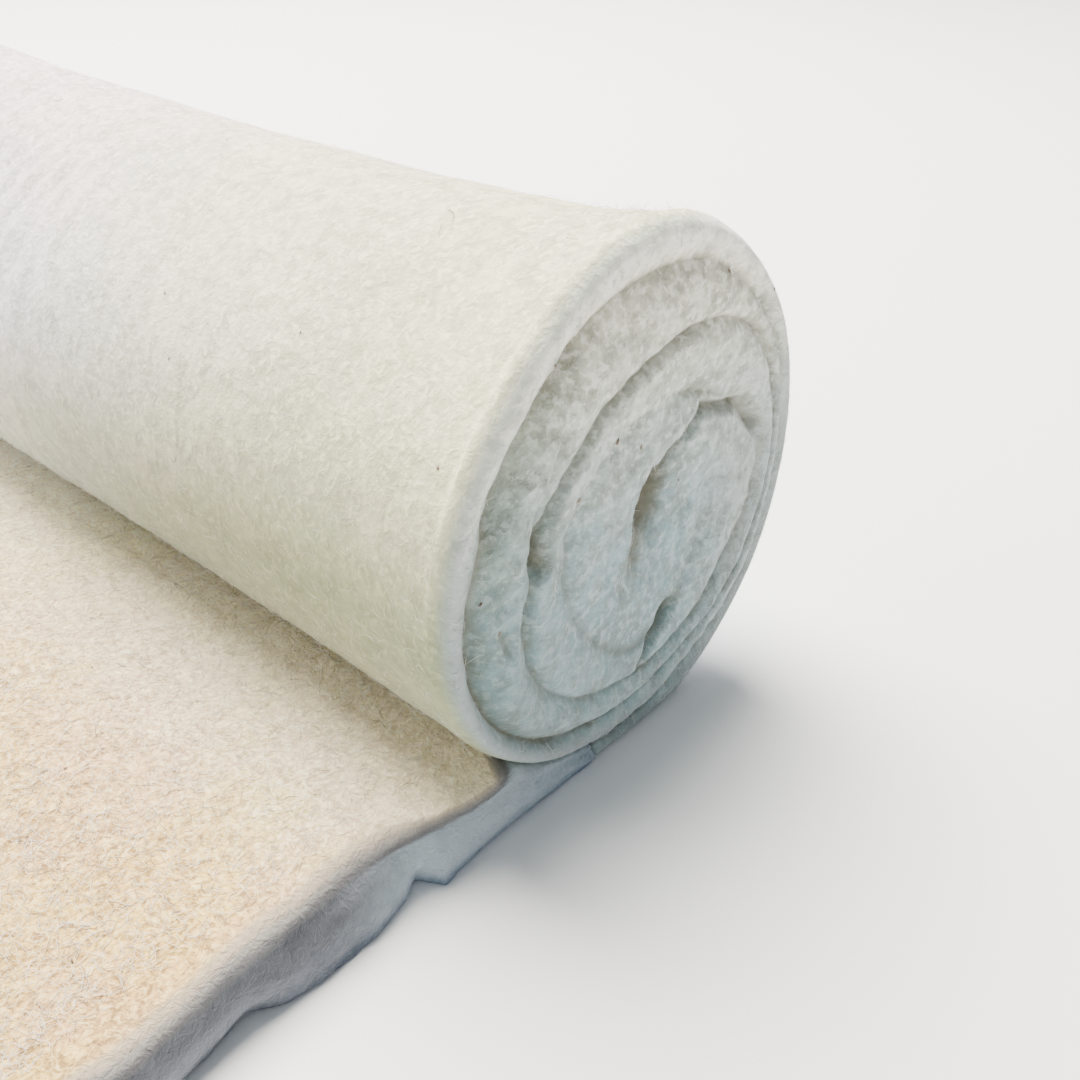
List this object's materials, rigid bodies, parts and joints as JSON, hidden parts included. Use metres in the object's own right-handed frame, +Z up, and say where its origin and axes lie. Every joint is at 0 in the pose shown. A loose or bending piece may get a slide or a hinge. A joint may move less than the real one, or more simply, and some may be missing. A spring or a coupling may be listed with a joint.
{
  "type": "roll of quilt batting",
  "caption": "Thick felted batting wound into a soft uneven roll that lies on its side, with its spiral edge showing at both ends and a loose end laid flat in front",
  "frame": {"origin": "middle of the bottom of the whole part, on the surface it lies on", "axes": "+X runs along the roll to its near end, the one the picture shows; +Z is up; the loose end lies towards -Y"},
  "size_m": [0.454, 0.2138, 0.1149],
  "materials": {
    "batting_outer": "matte matted off-white fibre",
    "batting_inner": "matte nappy beige fibre with stray curls"
  },
  "bodies": {
    "root": {"batting_roll": "batting_outer", "loose_end": "batting_inner"}
  },
  "joints": []
}
